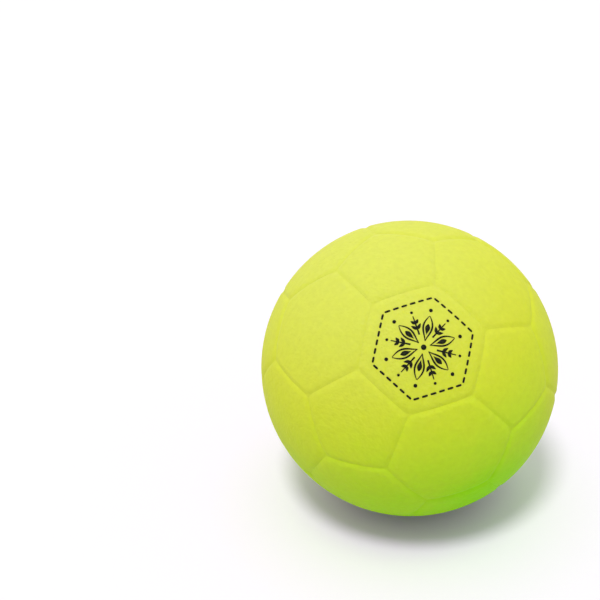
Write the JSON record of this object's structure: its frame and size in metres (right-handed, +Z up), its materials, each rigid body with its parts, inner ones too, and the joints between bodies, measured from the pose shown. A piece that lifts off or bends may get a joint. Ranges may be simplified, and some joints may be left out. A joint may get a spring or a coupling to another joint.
{
  "type": "soft handball",
  "caption": "Soft air-filled play handball: a hollow moulded skin with pentagon and hexagon panels marked by rounded creases, closed by a needle valve set flush in the skin.",
  "frame": {"origin": "the ball's centre", "axes": "+Z up as the ball lies in the picture, -Y towards the front, where the panel with the print faces forwards and up; the valve is opposite that panel"},
  "size_m": [0.16, 0.16, 0.16],
  "materials": {
    "skin": "fine matte grain, soft moulded PVC, lime yellow",
    "valve": "smooth matte soft PVC",
    "plug": "satin rubber"
  },
  "bodies": {
    "root": {"ball_skin": "skin", "valve_body": "valve", "valve_plug": "plug"}
  },
  "joints": []
}
